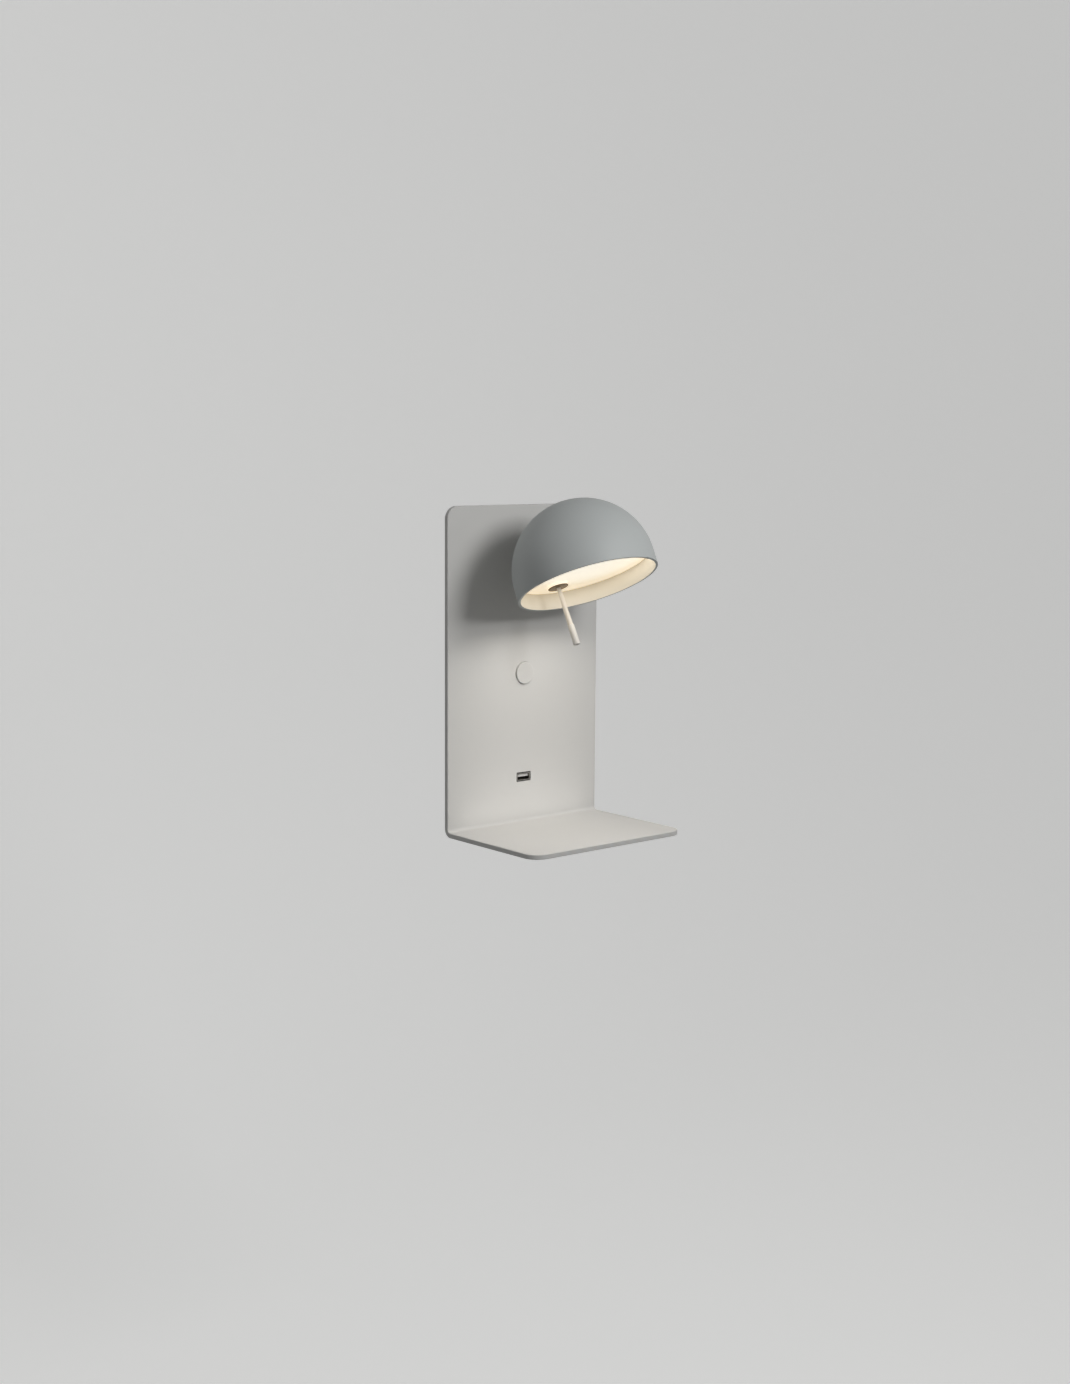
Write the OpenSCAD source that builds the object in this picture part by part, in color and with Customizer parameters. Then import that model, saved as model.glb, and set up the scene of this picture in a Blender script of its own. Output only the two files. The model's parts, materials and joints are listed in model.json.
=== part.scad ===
// Bedside wall lamp: a bent plate with a shelf, a push button, a USB socket
// and a dome shade on a short jointed arm, steered by a stick.
// Millimetres. X runs along the wall, Y into the wall, Z up. The origin is the
// centre of the four wall-screw holes, on the wall's surface.

/* [Panel and shelf] */
// Width of the bent plate along the wall
panel_w = 160; // [140:1:200]
// Height of the panel's front face above the shelf's top
panel_rise = 263.6; // [258:0.1:290]
// Reach of the shelf from the panel's front face
shelf_depth = 109.6; // [80:0.1:140]
// Thickness of the bent plate
plate_t = 4; // [3:0.5:5]
// Inner radius of the bend between panel and shelf
bend_r = 3; // [1:0.5:6]
// Radius of the panel's top corners
panel_corner_r = 10.5; // [4:0.5:18]
// Radius of the shelf's front corners
shelf_corner_r = 13; // [4:0.5:25]
// Height of the wall screws' centre above the shelf's top
shelf_drop = 130; // [125:1:134]

/* [Housing on the wall] */
// Depth of the housing between the wall and the panel's back
wall_gap = 23; // [22:0.5:32]
// Width of the housing
housing_w = 120; // [116:1:130]
// Gap in the housing below the USB supply and above the swivel
housing_gap = 6; // [3:0.5:12]
// Thickness of the housing's sheet
housing_t = 1.5; // [1:0.1:2]
// Corner radius of the housing
housing_r = 6; // [3:0.5:8]
// Gap left between the housing's edge and the wall
wall_clear = 0.5; // [0.2:0.1:1]
// Thickness of the wall plate
wall_plate_t = 1.5; // [1:0.1:2]
// Gap between the wall plate and the housing around it
wall_plate_gap = 0.5; // [0.2:0.1:1]
// Distance between the wall screws along the wall
wall_pitch_x = 80; // [70:1:86]
// Distance between the wall screws upwards
wall_pitch_z = 160; // [150:1:170]
// Diameter of the wall screws' holes
wall_hole_d = 5; // [4:0.1:6]
// Height of the side screws above and below the housing's middle
side_screw_z = 50; // [40:1:60]
// Diameter of the cable inlet's bore
inlet_d = 9; // [7:0.5:11]

/* [Push button] */
// Height of the button's centre above the shelf's top
button_rise = 124.7; // [120:0.1:130]
// Diameter of the button
button_d = 18; // [14:0.5:22]
// How far the button stands out of the panel
button_proud = 1.5; // [1:0.1:2.5]
// Travel of the button
button_travel = 1.2; // [0.8:0.1:1.5]
// Gap around the button
button_gap = 0.3; // [0.2:0.05:0.5]

/* [USB socket] */
// Height of the socket's centre above the shelf's top
usb_rise = 37.5; // [36:0.1:42]
// Width of the socket's opening
usb_open_w = 12.5; // [12.4:0.05:12.6]
// Height of the socket's opening
usb_open_h = 5.1; // [5.05:0.05:5.2]
// Depth of the socket
usb_depth = 12.5; // [11:0.5:14]
// Thickness of the plastic surround of the socket
usb_rim_t = 0.8; // [0.6:0.1:1.2]

/* [Arm] */
// Height of the arm above the shelf's top
arm_rise = 223.1; // [218:0.1:226]
// Reach of the arm from the panel's front face to the hinge
arm_reach = 32.3; // [31:0.1:40]
// Outer diameter of the arm tube
arm_d = 10; // [9:0.5:12]
// Wall of the arm tube
arm_wall = 1.5; // [1.2:0.1:1.8]
// Half the range of the swivel, each way
swivel_range = 60; // [30:5:75]

/* [Shade] */
// Outer diameter of the shade
shade_d = 115; // [110:1:125]
// Wall of the shade
shade_wall = 2; // [1.5:0.1:2.5]
// Height of the straight skirt under the dome
shade_skirt = 12; // [10:0.5:16]
// Tilt of the shade at rest, from straight down
shade_tilt = 25.4; // [10:0.1:35]
// How far the shade can aim down from the rest pose
tilt_down = 25.4; // [10:0.1:30]
// How far the shade can aim up from the rest pose
tilt_up = 40; // [20:1:50]
// Distance of the hinge from the skirt's outer face
hinge_inset = 24.5; // [22:0.1:27]
// Height of the hinge above the shade's rim
hinge_height = 38; // [37:0.1:42]
// Depth of the diffuser inside the rim
recess = 13.5; // [10:0.5:15]
// Thickness of the diffuser
diffuser_t = 2; // [1.5:0.1:2.5]
// Thickness of the reflector tray
tray_t = 1.5; // [1:0.1:2]
// Number of chips on the board
chip_count = 12; // [8:1:16]

/* [Steering stick] */
// Diameter of the stick where it leaves the diffuser
stick_d = 3.4; // [3:0.1:4]
// Diameter of the stick where its grip starts
stick_end_d = 4.4; // [4:0.1:5]
// Reach of the stick beyond the shade's rim
stick_reach = 38.8; // [25:0.1:45]
// Lean of the stick from the shade's axis towards the front
stick_lean = 2.5; // [0:0.1:4]
// Distance of the stick behind the hinge, at the diffuser
stick_back = 1.7; // [0:0.1:2.5]
// Length of the grip
grip_l = 17; // [10:0.5:20]
// Diameter of the grip
grip_d = 5.4; // [5.2:0.1:7]
// Diameter of the dark collar around the stick
collar_d = 17; // [12:0.5:18]

/* [Hinge] */
// Diameter of the hinge screw's shank
hinge_pin_d = 4; // [3.5:0.1:4.5]
// Radius of the arm's eye
eye_r = 6; // [5:0.5:6.5]
// Thickness of the arm's eye
eye_t = 5; // [4:0.5:6]
// Thickness of the friction washers in the hinge
friction_t = 0.6; // [0.4:0.1:0.8]
// Thickness of the bracket's ears
ear_t = 2.5; // [2:0.1:3]

/* [Hidden] */
$fn = 64;

over = 1;               // how far a cutting shape runs past what it cuts
run_gap = 0.05;         // radial clearance of a screw, pin or shaft in its hole
slip_gap = 0.1;         // clearance between flat faces that slide on each other
part_gap = 0.3;         // clearance between moulded pieces

// Planes of the plate
back_y = -wall_gap;                     // back of the panel
front_y = back_y - plate_t;             // front of the panel
shelf_z = -shelf_drop;                  // top of the shelf
under_z = shelf_z - plate_t;            // underside of the shelf
top_z = shelf_z + panel_rise;           // top edge of the panel
shelf_y = front_y - shelf_depth;        // front edge of the shelf
bend_y = front_y - bend_r;              // where the flat of the shelf starts
bend_z = shelf_z + bend_r;              // where the flat of the panel starts
button_z = shelf_z + button_rise;
usb_z = shelf_z + usb_rise;
arm_z = shelf_z + arm_rise;

// Screws and nuts: M4 and M3
m4_r = 2;
m4_nut_w = 7;
m4_nut_h = 3.2;
m4_head_r = 3.5;
m4_head_h = 2.2;
m3_r = 1.5;
m3_head_r = 2.75;
m3_head_h = 1.8;
socket_share = 0.45;    // width of a screw's hex socket as a share of its head

// Swivel of the arm in the panel: rings around the arm
arm_r = arm_d / 2;
arm_bore_r = arm_r - arm_wall;
bush_t = 2;
bush_r = arm_r + bush_t;
bush_flange_w = 4.5;
bush_flange_t = 1.5;
arm_collar_w = 3;
arm_collar_t = 3;
swivel_washer_w = 4;
swivel_washer_r = arm_r + swivel_washer_w;
slide_washer_t = 1;
wave_washer_t = 0.5;
wave_rise = 0.7;
stop_washer_t = 1.2;
arm_nut_wall = 2;
arm_nut_h = 4;
arm_tail = 1;
stop_pin_r = 1.5;
stop_pin_out = 8;                       // from the arm's surface to the stop pin
stop_wall = 2;
stop_core_gap = 1;
stop_circle_r = arm_r + stop_pin_out;
stop_rim_r = stop_circle_r + stop_wall;
stop_core_r = stop_circle_r - stop_pin_r - stop_core_gap;
stop_play = 2;                          // degrees that the notch is wider than the swivel needs
stop_half = swivel_range + asin(stop_pin_r / stop_circle_r) + stop_play;

// Housing, as high as the USB supply below and the stop washer above need
usb_case_w = 40;
usb_case_h = 30;
usb_case_t = 16;
housing_low_z = usb_z - usb_case_h / 2 - housing_gap - housing_t;
housing_top_z = arm_z + stop_rim_r + housing_gap + housing_t;
housing_z = (housing_low_z + housing_top_z) / 2;
housing_h = housing_top_z - housing_low_z;
bed_y = back_y + housing_t;             // inner face of the housing, where the modules sit
plate_y = -wall_plate_t;                // inner face of the wall plate
housing_in_w = housing_w - 2 * housing_t;
housing_in_h = housing_h - 2 * housing_t;
wall_plate_w = housing_in_w - 2 * wall_plate_gap;
wall_plate_h = housing_in_h - 2 * wall_plate_gap;
stud_l = 8;
stud_inset_x = 9;
stud_inset_z = 14;
stud_x = housing_in_w / 2 - stud_inset_x;
stud_z = housing_in_h / 2 - stud_inset_z;
tab_w = 16;
tab_l = 12.5;
tab_screw_y = plate_y - tab_l / 2;
side_screw_l = 6;

// Planes of the swivel, from the panel's front to the arm's end behind the housing's wall
pivot_y = front_y - arm_reach;
arm_collar_back_y = front_y - bush_flange_t - slip_gap;
slide_washer_y = bed_y + slip_gap;
wave_washer_y = slide_washer_y + slide_washer_t;
stop_washer_y = wave_washer_y + wave_washer_t + wave_rise;
arm_nut_y = stop_washer_y + stop_washer_t;
arm_tube_end_y = arm_nut_y + arm_nut_h + arm_tail;

// Modules on the housing's bed: USB supply and switch at their openings, driver and terminals between
lug_t = 2.5;
lug_l = 7;
module_r = 2;
switch_w = 16;
switch_t = 12;
switch_floor = 2;
driver_w = 82;
driver_h = 38;
driver_t = 14.5;
driver_lid_t = 1.2;
driver_z = (button_z + switch_w / 2 + arm_z - stop_rim_r) / 2;
driver_low_z = driver_z - driver_h / 2;
driver_top_z = driver_z + driver_h / 2;
usb_case_top_z = usb_z + usb_case_h / 2;
terminal_x = -24;
terminal_z = (usb_case_top_z + button_z - switch_w / 2) / 2;
pole_count = 3;
pole_pitch = 9;
terminal_end = 2;
terminal_w = pole_count * pole_pitch + 2 * terminal_end;
terminal_h = 18;
terminal_t = 13;
terminal_top_z = terminal_z + terminal_h / 2;
terminal_low_z = terminal_z - terminal_h / 2;
terminal_well_r = 1.9;
terminal_well_l = 7;
terminal_screw_r = terminal_well_r - run_gap;
terminal_screw_l = 4.5;
terminal_screw_set = 1;
terminal_slot_w = 0.6;
terminal_slot_l = 1;
terminal_row_z = 4.5;
terminal_wire_r = 1.6;
terminal_floor = 2;

// Cable inlet, beside the terminals
inlet_x = 22;
inlet_z = terminal_z;
grommet_wall = 2;
grommet_lip = 2.5;
grommet_neck_r = inlet_d / 2 + grommet_wall;
grommet_flange_r = grommet_neck_r + grommet_lip;
grommet_flange_t = 2;
grommet_recess = 0.2;

// Push button and its switch
button_hole_r = button_d / 2 + button_gap;
button_front_y = front_y - button_proud;
button_back_y = back_y - button_travel - part_gap;
button_edge_r = 0.5;
plunger_r = 2.5;
plunger_head_r = 4;
plunger_head_t = 1.5;
plunger_seat = 1.5;
cavity_gap = 0.5;
switch_cavity_r = plunger_head_r + cavity_gap;
switch_in_y = bed_y + switch_floor;
switch_out_y = bed_y + switch_t - switch_floor;
plunger_head_y = switch_in_y + slip_gap;

// USB socket
usb_shell_t = 0.4;
usb_shell_w = usb_open_w + 2 * usb_shell_t;
usb_shell_h = usb_open_h + 2 * usb_shell_t;
usb_rim_w = usb_shell_w + 2 * usb_rim_t;
usb_rim_h = usb_shell_h + 2 * usb_rim_t;
usb_rim_r = 0.6;
usb_set_back = 0.3;
usb_front_y = front_y + usb_set_back;
usb_back_y = usb_front_y + usb_depth;
usb_tongue_w = 11.1;
usb_tongue_h = 1.9;
usb_tongue_set = 1.2;
usb_tongue_gap = 0.75;
usb_tongue_z = usb_z + usb_open_h / 2 - usb_tongue_gap - usb_tongue_h / 2;
usb_contact_t = 0.15;
usb_contact_x = [-3.5, -1, 1, 3.5];
usb_contact_w = 1.2;
usb_hole_gap = 0.15;

// Hinge at the arm's front end, about the X axis through the pivot
eye_root = 2;
eye_neck = eye_r + eye_root;
arm_end_l = 5;
spigot_l = 8;
spigot_wall = 1.3;
wire_bore_r = arm_bore_r - spigot_wall;
wire_bore_end = 1;
wire_exit_wall = 0.5;
arm_tube_front_y = pivot_y + eye_neck + arm_end_l;
hinge_pin_r = hinge_pin_d / 2;
ear_wall = 0.5;
ear_r = eye_r + ear_wall;
ear_in_x = eye_t / 2 + friction_t + slip_gap;
ear_out_x = ear_in_x + ear_t;
hinge_head_r = 3.5;
hinge_head_h = 2.6;
hinge_washer_r = eye_r - ear_wall;
hinge_spring_t = 0.4;
hinge_spring_rise = 0.5;
hinge_spring_wall = 2;
hinge_nut_w = 7;
hinge_nut_h = 3.2;
hinge_nut_x = -ear_out_x - hinge_spring_t - hinge_spring_rise;
hinge_screw_tail = 0.5;
hinge_screw_l = ear_out_x - hinge_nut_x + hinge_nut_h + hinge_screw_tail;

// Shade, drawn pointing straight down with the pivot at the origin and then tilted
shade_r = shade_d / 2;
shade_in_r = shade_r - shade_wall;
hinge_offset = shade_r - hinge_inset;   // from the shade's axis to the hinge
axis_y = -hinge_offset;
rim_z = -hinge_height;
dome_z = rim_z + shade_skirt;
diffuser_z = rim_z + recess;
diffuser_top_z = diffuser_z + diffuser_t;
diffuser_gap = 0.5;
// Inside radius of the shade at a height
function inside_r(z) = sqrt(pow(shade_in_r, 2) - pow(max(z - dome_z, 0), 2));
diffuser_r = inside_r(diffuser_top_z) - diffuser_gap;
bracket_t = 2;
bracket_top_z = -ear_r;
floor_top_z = bracket_top_z - bracket_t;        // top of the tray's floor
floor_z = floor_top_z - tray_t;
tray_flange_t = 1.2;
tray_gap = 1.3;
tray_r = inside_r(floor_top_z) - tray_gap;
tray_rim_r = inside_r(diffuser_top_z + tray_flange_t) - diffuser_gap;
boss_r = 3.5;
boss_inset = 11.4;
boss_circle_r = tray_r - boss_inset;
boss_angles = [-90, 25, 155];
boss_hole_l = 7;
tray_screw_l = 6;
board_gap = 7;
board_r = hinge_offset - board_gap;
board_t = 1.6;
board_screw_r = 10;
board_screw_bite = 2;
chip_w = 3;
chip_t = 0.8;
chip_inset = 7;
chip_circle_r = board_r - chip_inset;
sink_gap = 6.5;
sink_r = hinge_offset - ear_r - sink_gap;
sink_t = 3;
sink_floor = 0.5;
fin_t = 1.5;
fin_pitch = 6;
fin_count = 5;
fin_h = 13;

// Slot in the dome: from the arm's direction with the shade aimed down to that with it aimed up
slot_gap = 0.8;
slot_r = arm_r + slot_gap;
slot_from = shade_tilt - tilt_down;
slot_to = shade_tilt + tilt_up;
slot_mid = (slot_from + slot_to) / 2;
slot_half = slot_to - slot_mid;
// Distance from the pivot to the dome's outer face in direction a
function wall_reach(a) = let (b = hinge_offset * cos(a) - dome_z * sin(a))
    sqrt(b * b - pow(hinge_offset, 2) - pow(dome_z, 2) + pow(shade_r, 2)) - b;
function slot_end(a) = wall_reach(a) * sin(slot_half) + slot_r / cos(slot_half) - slot_r;
slot_from_end = slot_end(slot_from);            // centres of the slot's two round ends
slot_to_end = -slot_end(slot_to);

// Bracket under the hinge
bracket_w = 24;
bracket_screw_gap = 3.3;
bracket_screw_x = ear_out_x + bracket_screw_gap;
bracket_screw_l = tray_t + bracket_t;

// Stick, drawn down its own axis from the diffuser's face, and its collar
stick_r = stick_d / 2;
stick_top_gap = 0.3;    // from the stick's end down to the bracket's top
stick_top_z = bracket_top_z - diffuser_z - stick_top_gap;
stick_taper_gap = 0.2;  // from the collar's face to the start of the stick's taper
collar_t = 0.7;
collar_overlap = 0.3;   // of the collar past the diffuser's raised seat
seat_h = 2;
stick_taper_z = -seat_h - collar_t - stick_taper_gap;
collar_neck_r = 4;
tip_z = -recess - stick_reach;
grip_z = tip_z + grip_l;
grip_core_r = 1.5;
grip_end_t = 1.5;
grip_edge_r = 0.4;

// Leads: they start and end on the modules' faces, with points chosen by hand between
lead_r = 1.8;
lamp_lead_r = 1.6;
lead_y = -15;
lead_run = 6;           // straight stretch at a lead's ends
driver_lead_y = -13;
mains_lead_path = [[terminal_x, lead_y, terminal_top_z], [terminal_x, lead_y, terminal_top_z + lead_run],
    [-25, -15, -16], [-27, -15, 0], [-28, driver_lead_y, driver_low_z - lead_run],
    [-28, driver_lead_y, driver_low_z]];
usb_lead_path = [[terminal_x, lead_y, terminal_low_z], [terminal_x, lead_y, terminal_low_z - lead_run],
    [-20, -14, -66], [-8, driver_lead_y, usb_case_top_z + lead_run], [-8, driver_lead_y, usb_case_top_z]];
switch_lead_path = [[0, bed_y + switch_t, button_z], [0, bed_y + switch_t + 3, button_z], [4, -6, 2],
    [8, -8, 9], [10, driver_lead_y, driver_low_z - lead_run], [10, driver_lead_y, driver_low_z]];
lamp_lead_path = [[24, driver_lead_y, driver_top_z], [24, driver_lead_y, driver_top_z + lead_run],
    [22, -8, 82], [14, -6, 91], [5, -7, arm_z], [0, arm_tube_end_y + 3, arm_z],
    [0, arm_tube_end_y - 3, arm_z], [0, -30, arm_z], [0, -44, arm_z], [0, pivot_y + eye_neck + 2, arm_z]];

// ---------- helpers ----------

// An outline in X and Z, raised from y towards the room
module forward(y, t) {
    translate([0, y, 0]) rotate([90, 0, 0]) linear_extrude(t) children();
}

// An outline in Y and Z, spread along X about the middle
module across(w) {
    rotate([90, 0, 90]) linear_extrude(w, center = true) children();
}

// A rod that starts at y and runs towards the room
module rod_y(x, z, y, len, r) {
    translate([x, y, z]) rotate([90, 0, 0]) cylinder(h = len, r = r);
}

// A rod that starts at x and runs towards +X
module rod_x(x, len, r) {
    translate([x, 0, 0]) rotate([0, 90, 0]) cylinder(h = len, r = r);
}

module round_rect(w, h, r) {
    square([w - 2 * r, h], center = true);
    square([w, h - 2 * r], center = true);
    for (sx = [-1, 1], sz = [-1, 1]) translate([sx * (w / 2 - r), sz * (h / 2 - r)]) circle(r);
}

// A strip from a to b whose two far corners are round
module round_end(w, a, b, r) {
    translate([-w / 2, a]) square([w, b - a - r]);
    translate([-w / 2 + r, a]) square([w - 2 * r, b - a]);
    for (side = [-1, 1]) translate([side * (w / 2 - r), b - r]) circle(r);
}

module ring(outer_r, inner_r) {
    difference() {
        circle(outer_r);
        circle(inner_r);
    }
}

// A hexagon of the given width across its flats
module hexagon(w) {
    circle(r = w / sqrt(3), $fn = 6);
}

// A screw along Z: its head stands on the plane z = 0 and its shank hangs below
module screw(shank_r, shank_l, head_r, head_h) {
    translate([0, 0, -shank_l]) cylinder(h = shank_l, r = shank_r);
    difference() {
        cylinder(h = head_h, r = head_r);
        translate([0, 0, head_h / 2]) linear_extrude(head_h) hexagon(2 * head_r * socket_share);
    }
}

// The hole for an M3 screw along Z, cut from z_low to z_high
module m3_hole(z_low, z_high) {
    translate([0, 0, z_low]) cylinder(h = z_high - z_low, r = m3_r + run_gap);
}

// A conical spring washer along Z
module cone_washer(outer_r, inner_r, t, rise) {
    rotate_extrude() polygon([[inner_r, rise], [inner_r, rise + t], [outer_r, t], [outer_r, 0]]);
}

// Where the driver, the switch and the USB supply are screwed down
module at_lugs() {
    for (side = [-1, 1]) {
        translate([side * (driver_w + lug_l) / 2, 0, driver_z]) children();
        translate([side * (switch_w + lug_l) / 2, 0, button_z]) children();
        translate([side * (usb_case_w + lug_l) / 2, 0, usb_z]) children();
    }
}

// A module's foot with its two lug holes, on the housing's bed
module lugs(w, z) {
    translate([0, 0, z]) difference() {
        forward(bed_y + lug_t, lug_t) round_rect(w + 2 * lug_l, lug_l, module_r);
        for (side = [-1, 1]) translate([side * (w + lug_l) / 2, 0, 0])
            rod_y(0, 0, bed_y + lug_t + over, lug_t + 2 * over, m3_r + run_gap);
    }
}

module at_studs() {
    for (sx = [-1, 1], sz = [-1, 1]) translate([sx * stud_x, 0, housing_z + sz * stud_z]) children();
}

module at_side_screws() {
    for (sz = [-1, 1]) translate([0, tab_screw_y, housing_z + sz * side_screw_z]) children();
}

function pole_x(pole) = terminal_x + (pole - (pole_count - 1) / 2) * pole_pitch;

module at_terminals() {
    for (pole = [0 : pole_count - 1], sz = [-1, 1])
        translate([pole_x(pole), 0, terminal_z + sz * terminal_row_z]) children();
}

// Puts a piece of the shade at its place and tilt
module in_shade() {
    translate([0, pivot_y, arm_z]) rotate([-shade_tilt, 0, 0]) children();
}

module at_bosses() {
    translate([0, axis_y, 0]) for (a = boss_angles)
        translate([boss_circle_r * cos(a), boss_circle_r * sin(a), 0]) children();
}

module at_board_screws() {
    translate([0, axis_y, 0]) for (a = [90 : 120 : 330])
        translate([board_screw_r * cos(a), board_screw_r * sin(a), 0]) children();
}

module at_bracket_screws() {
    for (side = [-1, 1]) translate([side * bracket_screw_x, 0, 0]) children();
}

// ---------- tubes along a smooth route ----------

lead_sides = 8;
lead_steps = 3;
lead_askew = [0.31, 0.17, 0.93];        // a direction that no lead starts in

function unit(v) = v / norm(v);
function clamp_index(i, n) = max(0, min(n - 1, i));
// A point of the smooth curve through the route, between points i and i + 1
function curve_point(p, i, t) = let (
    n = len(p), a = p[clamp_index(i - 1, n)], b = p[i], c = p[clamp_index(i + 1, n)],
    d = p[clamp_index(i + 2, n)])
    0.5 * (2 * b + (c - a) * t + (2 * a - 5 * b + 4 * c - d) * t * t + (3 * b - a - 3 * c + d) * t * t * t);
function steps_after(p, i) = i == len(p) - 3 ? lead_steps : lead_steps - 1;
// The first and last legs stay straight, so that the lead's ends lie square on the modules
function smooth_route(p) = concat([p[0]],
    [for (i = [1 : len(p) - 3], k = [0 : steps_after(p, i)]) curve_point(p, i, k / lead_steps)],
    [p[len(p) - 1]]);
function tangent(q, i) = unit(q[clamp_index(i + 1, len(q))] - q[clamp_index(i - 1, len(q))]);
// The side vector of each ring, carried along the route without twisting
function carried(q, i) = i == 0
    ? unit(cross(tangent(q, 0), lead_askew))
    : let (t = tangent(q, i), s = carried(q, i - 1)) unit(s - (s * t) * t);

module lead(path, r) {
    q = smooth_route(path);
    n = len(q);
    rings = [for (i = [0 : n - 1]) let (t = tangent(q, i), s = carried(q, i), u = cross(t, s))
        for (k = [0 : lead_sides - 1]) let (a = 360 * k / lead_sides) q[i] + r * (cos(a) * s + sin(a) * u)];
    walls = [for (i = [0 : n - 2], k = [0 : lead_sides - 1], half = [0, 1]) let (
        a = i * lead_sides + k, b = i * lead_sides + (k + 1) % lead_sides)
        half == 0 ? [a, a + lead_sides, b] : [b, a + lead_sides, b + lead_sides]];
    start = [for (k = [0 : lead_sides - 1]) k];
    end = [for (k = [lead_sides - 1 : -1 : 0]) (n - 1) * lead_sides + k];
    polyhedron(rings, concat(walls, [start, end]), convexity = 6);
}

// ---------- the plate, the housing and the wall plate ----------

module bend() {
    across(panel_w) intersection() {
        translate([bend_y, bend_z]) ring(bend_r + plate_t, bend_r);
        translate([bend_y, under_z]) square([bend_r + plate_t, bend_z - under_z]);
    }
}

module panel_shelf() color("gainsboro") {
    difference() {
        union() {
            forward(back_y, plate_t) round_end(panel_w, bend_z, top_z, panel_corner_r);
            bend();
            translate([0, 0, under_z]) linear_extrude(plate_t)
                mirror([0, 1]) round_end(panel_w, -bend_y, -shelf_y, shelf_corner_r);
        }
        rod_y(0, button_z, back_y + over, plate_t + 2 * over, button_hole_r);
        rod_y(0, arm_z, back_y + over, plate_t + 2 * over, bush_r + run_gap);
        translate([0, 0, usb_z]) forward(back_y + over, plate_t + 2 * over)
            round_rect(usb_rim_w + 2 * usb_hole_gap, usb_rim_h + 2 * usb_hole_gap, usb_rim_r);
    }
}

module panel_studs() color("silver") {
    at_studs() rod_y(0, 0, back_y + stud_l, stud_l, m4_r);
}

module rear_housing() color("dimgray") {
    difference() {
        translate([0, 0, housing_z]) difference() {
            forward(-wall_clear, wall_gap - wall_clear) round_rect(housing_w, housing_h, housing_r);
            forward(over, over - bed_y) round_rect(housing_in_w, housing_in_h, housing_r - housing_t);
        }
        at_studs() rod_y(0, 0, bed_y + over, housing_t + 2 * over, m4_r + run_gap);
        at_lugs() rod_y(0, 0, bed_y + over, housing_t + 2 * over, m3_r + run_gap);
        at_side_screws() rod_x(-housing_w, 2 * housing_w, m4_r + run_gap);
        rod_y(0, arm_z, bed_y + over, housing_t + 2 * over, bush_r + run_gap);
        rod_y(0, button_z, bed_y + over, housing_t + 2 * over, plunger_r + part_gap);
        rod_y(0, arm_z + stop_circle_r, bed_y + over, housing_t + 2 * over, stop_pin_r + run_gap);
        translate([0, 0, usb_z]) forward(bed_y + over, housing_t + 2 * over)
            round_rect(usb_rim_w + 2 * usb_hole_gap, usb_rim_h + 2 * usb_hole_gap, usb_rim_r);
    }
}

module housing_nuts() color("silver") {
    at_studs() forward(bed_y + m4_nut_h, m4_nut_h) difference() {
        hexagon(m4_nut_w);
        circle(m4_r + run_gap);
    }
}

module wall_plate() color("lightsteelblue") {
    difference() {
        translate([0, 0, housing_z]) forward(0, wall_plate_t)
            round_rect(wall_plate_w, wall_plate_h, housing_r - housing_t - wall_plate_gap);
        for (sx = [-1, 1], sz = [-1, 1])
            translate([sx * wall_pitch_x / 2, 0, sz * wall_pitch_z / 2])
                rod_y(0, 0, over, wall_plate_t + 2 * over, wall_hole_d / 2);
        rod_y(inlet_x, inlet_z, over, wall_plate_t + 2 * over, grommet_neck_r);
    }
    for (side = [-1, 1]) at_side_screws() difference() {
        translate([side * (wall_plate_w - wall_plate_t) / 2, 0, 0])
            cube([wall_plate_t, tab_l, tab_w], center = true);
        rod_x(-wall_plate_w, 2 * wall_plate_w, m4_r + run_gap);
    }
}

module side_screws() color("silver") {
    at_side_screws() for (side = [-1, 1]) translate([side * housing_w / 2, 0, 0])
        rotate([0, side * 90, 0]) screw(m4_r, side_screw_l, m4_head_r, m4_head_h);
}

module cable_grommet() color("black") {
    translate([inlet_x, 0, inlet_z]) rotate([90, 0, 0]) rotate_extrude() polygon([
        [inlet_d / 2, grommet_recess], [grommet_neck_r, grommet_recess], [grommet_neck_r, wall_plate_t],
        [grommet_flange_r, wall_plate_t], [grommet_flange_r, wall_plate_t + grommet_flange_t],
        [inlet_d / 2, wall_plate_t + grommet_flange_t]]);
}

// ---------- electrics ----------

module terminal_block() color("ivory") {
    difference() {
        translate([terminal_x, 0, terminal_z]) forward(bed_y + terminal_t, terminal_t)
            round_rect(terminal_w, terminal_h, module_r / 2);
        at_terminals() rod_y(0, 0, bed_y + terminal_t + over, terminal_well_l + over, terminal_well_r);
        for (pole = [0 : pole_count - 1])
            translate([pole_x(pole), bed_y + terminal_wire_r + terminal_floor, terminal_z])
                cylinder(h = terminal_h + 2 * over, r = terminal_wire_r, center = true);
    }
}

module terminal_screws() color("gold") {
    at_terminals() difference() {
        rod_y(0, 0, bed_y + terminal_t - terminal_screw_set, terminal_screw_l, terminal_screw_r);
        forward(bed_y + terminal_t, terminal_screw_set + terminal_slot_l)
            square([2 * terminal_well_r, terminal_slot_w], center = true);
    }
}

module led_driver() color("whitesmoke") {
    lugs(driver_w, driver_z);
    translate([0, 0, driver_z]) forward(bed_y + driver_t, driver_t) round_rect(driver_w, driver_h, module_r);
}

module driver_lid() color("lightgray") {
    translate([0, 0, driver_z]) forward(bed_y + driver_t + driver_lid_t, driver_lid_t)
        round_rect(driver_w - driver_lid_t, driver_h - driver_lid_t, module_r);
}

module module_screws() color("silver") {
    at_lugs() translate([0, bed_y + lug_t, 0]) rotate([-90, 0, 0])
        screw(m3_r, lug_t + housing_t, m3_head_r, m3_head_h);
}

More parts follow.
